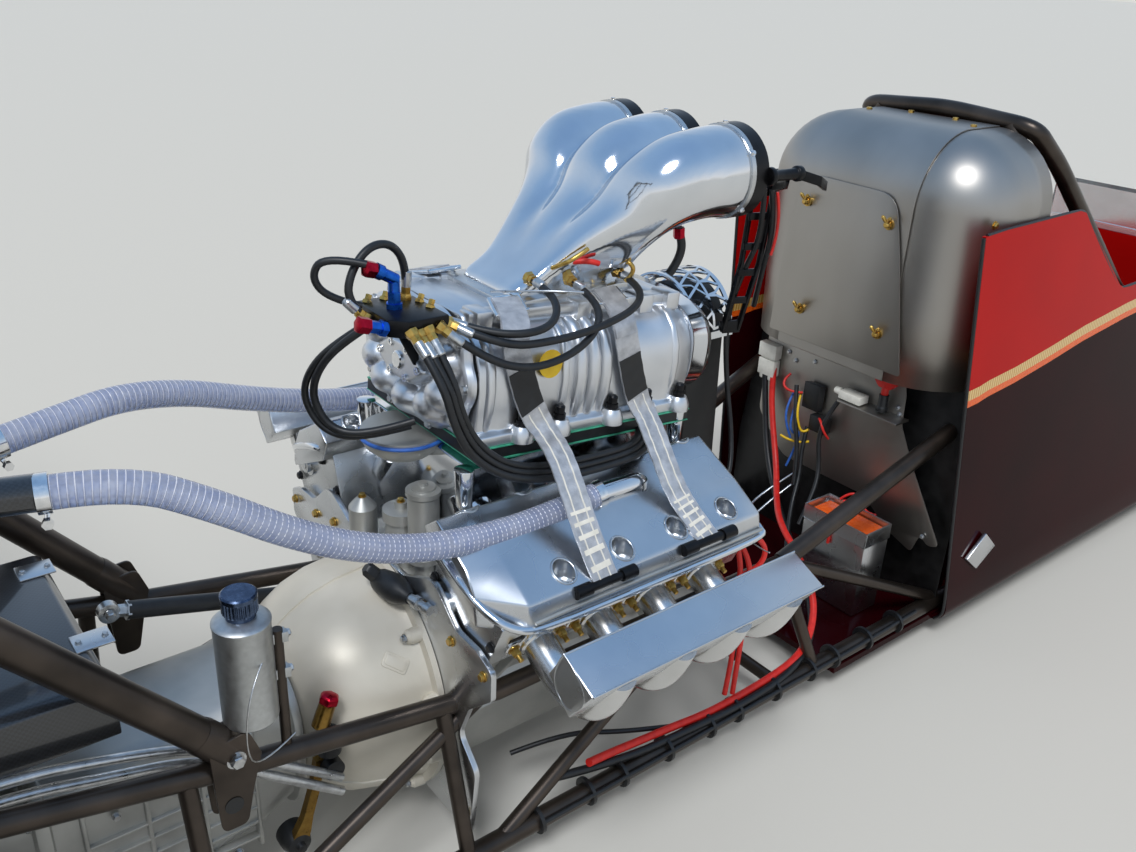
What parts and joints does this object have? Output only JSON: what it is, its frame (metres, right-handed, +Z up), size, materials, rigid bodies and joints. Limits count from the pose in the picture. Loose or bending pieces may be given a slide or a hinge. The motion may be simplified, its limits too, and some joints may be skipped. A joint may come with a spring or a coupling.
{
  "type": "drag racing car",
  "caption": "Rear-engined drag racing car: supercharged V8 behind the driver in a tube frame, long tapered nose, wide rear slicks, rear wing and wheelie bar.",
  "frame": {"origin": "on the ground, under the middle of the car's box", "axes": "+X towards the nose, +Y to the driver's left, +Z up"},
  "size_m": [9.5149, 1.67, 2.26],
  "materials": {
    "bare_chromoly": "bare welded chromoly tube, heat-browned",
    "polished_cast": "polished aluminium casting",
    "machined_aluminium": "machined billet aluminium",
    "brushed_aluminium": "brushed aluminium sheet",
    "sand_cast_alloy": "sand-cast light alloy",
    "cream_cast": "cream passivated magnesium casting",
    "slick_rubber": "soft smooth tread rubber",
    "belt_rubber": "toothed drive belt",
    "black_anodised": "black anodised aluminium",
    "steel_pipe": "heat-tinted steel pipe",
    "red_gloss": "candy red over dark maroon, gloss",
    "maroon_gloss": "dark maroon gloss",
    "carbon_gloss": "clear-coated carbon cloth",
    "satin_titanium": "satin titanium sheet",
    "seat_cloth": "black quilted cloth",
    "pack_nylon": "woven nylon pack",
    "clear_screen": "clear polycarbonate",
    "black_steel": "black coated steel"
  },
  "bodies": {
    "root": {"axle_plates": "bare_chromoly", "battery_box": "brushed_aluminium", "bell_housing": "cream_cast", "belly_pan": "maroon_gloss", "blower_case": "polished_cast", "blower_covers": "polished_cast", "brake_calipers": "machined_aluminium", "breather_tank": "carbon_gloss", "chute_shelf": "brushed_aluminium", "cockpit_sides": "red_gloss", "cylinder_heads": "machined_aluminium", "deck_box": "carbon_gloss", "drive_belt": "belt_rubber", "drive_pulleys": "machined_aluminium", "engine_block": "machined_aluminium", "frame_braces": "bare_chromoly", "front_axle": "bare_chromoly", "front_wing": "carbon_gloss", "fuel_block": "black_anodised", "head_shell": "satin_titanium", "header_covers": "brushed_aluminium", "header_pipes": "steel_pipe", "injector_hat": "polished_cast", "intake_manifold": "polished_cast", "lower_rails": "bare_chromoly", "motor_plate": "machined_aluminium", "nose_body": "red_gloss", "overflow_bottle": "brushed_aluminium", "parachute_packs": "pack_nylon", "rear_axle_housing": "machined_aluminium", "rear_bulkheads": "satin_titanium", "rear_wing": "carbon_gloss", "roll_cage": "bare_chromoly", "seat": "seat_cloth", "throttle_rings": "black_anodised", "torque_strut": "black_steel", "transmission": "sand_cast_alloy", "upper_rails": "bare_chromoly", "valve_covers": "brushed_aluminium", "wheelie_bar": "bare_chromoly", "windscreen": "clear_screen", "wing_struts": "bare_chromoly"},
    "rear_wheels": {"rear_slicks": "slick_rubber", "rear_rims": "polished_cast"},
    "knuckle_right": {"knuckle_right": "machined_aluminium"},
    "knuckle_left": {"knuckle_left": "machined_aluminium"},
    "tie_rod": {"tie_rod": "bare_chromoly"},
    "front_wheel_right": {"front_tyre_right": "slick_rubber", "front_rim_right": "polished_cast"},
    "front_wheel_left": {"front_tyre_left": "slick_rubber", "front_rim_left": "polished_cast"},
    "steering_yoke": {"steering_yoke": "black_steel"},
    "wheelie_wheels": {"wheelie_wheels": "belt_rubber"}
  },
  "joints": [
    {"name": "rear_axle_spin", "type": "hinge", "parent": "root", "child": "rear_wheels", "pos_m": [-2.9825, 0, 0.45], "axis": [0, 1, 0], "continuous": true},
    {"name": "steer_right", "type": "hinge", "parent": "root", "child": "knuckle_right", "pos_m": [4.0175, -0.43, 0.28], "axis": [0, 0, 1], "range_deg": [-12, 12]},
    {"name": "steer_left", "type": "hinge", "parent": "root", "child": "knuckle_left", "pos_m": [4.0175, 0.43, 0.28], "axis": [0, 0, 1], "range_deg": [-12, 12]},
    {"name": "tie_rod_pivot", "type": "hinge", "parent": "knuckle_right", "child": "tie_rod", "pos_m": [3.8975, -0.43, 0.23], "axis": [0, 0, 1], "range_deg": [-12, 12]},
    {"name": "yoke_turn", "type": "hinge", "parent": "root", "child": "steering_yoke", "pos_m": [0.4675, 0, 0.64], "axis": [0.9932, 0, -0.1168], "range_deg": [-60, 60]},
    {"name": "front_spin_right", "type": "hinge", "parent": "knuckle_right", "child": "front_wheel_right", "pos_m": [4.0175, -0.52, 0.28], "axis": [0, 1, 0], "continuous": true},
    {"name": "front_spin_left", "type": "hinge", "parent": "knuckle_left", "child": "front_wheel_left", "pos_m": [4.0175, 0.52, 0.28], "axis": [0, 1, 0], "continuous": true},
    {"name": "wheelie_spin", "type": "hinge", "parent": "root", "child": "wheelie_wheels", "pos_m": [-4.6825, 0, 0.125], "axis": [0, 1, 0], "continuous": true}
  ],
  "couplings": [
    {"joint": "steer_left", "follows": "steer_right", "ratio": 1},
    {"joint": "tie_rod_pivot", "follows": "steer_right", "ratio": -1},
    {"joint": "yoke_turn", "follows": "steer_right", "ratio": -5}
  ]
}
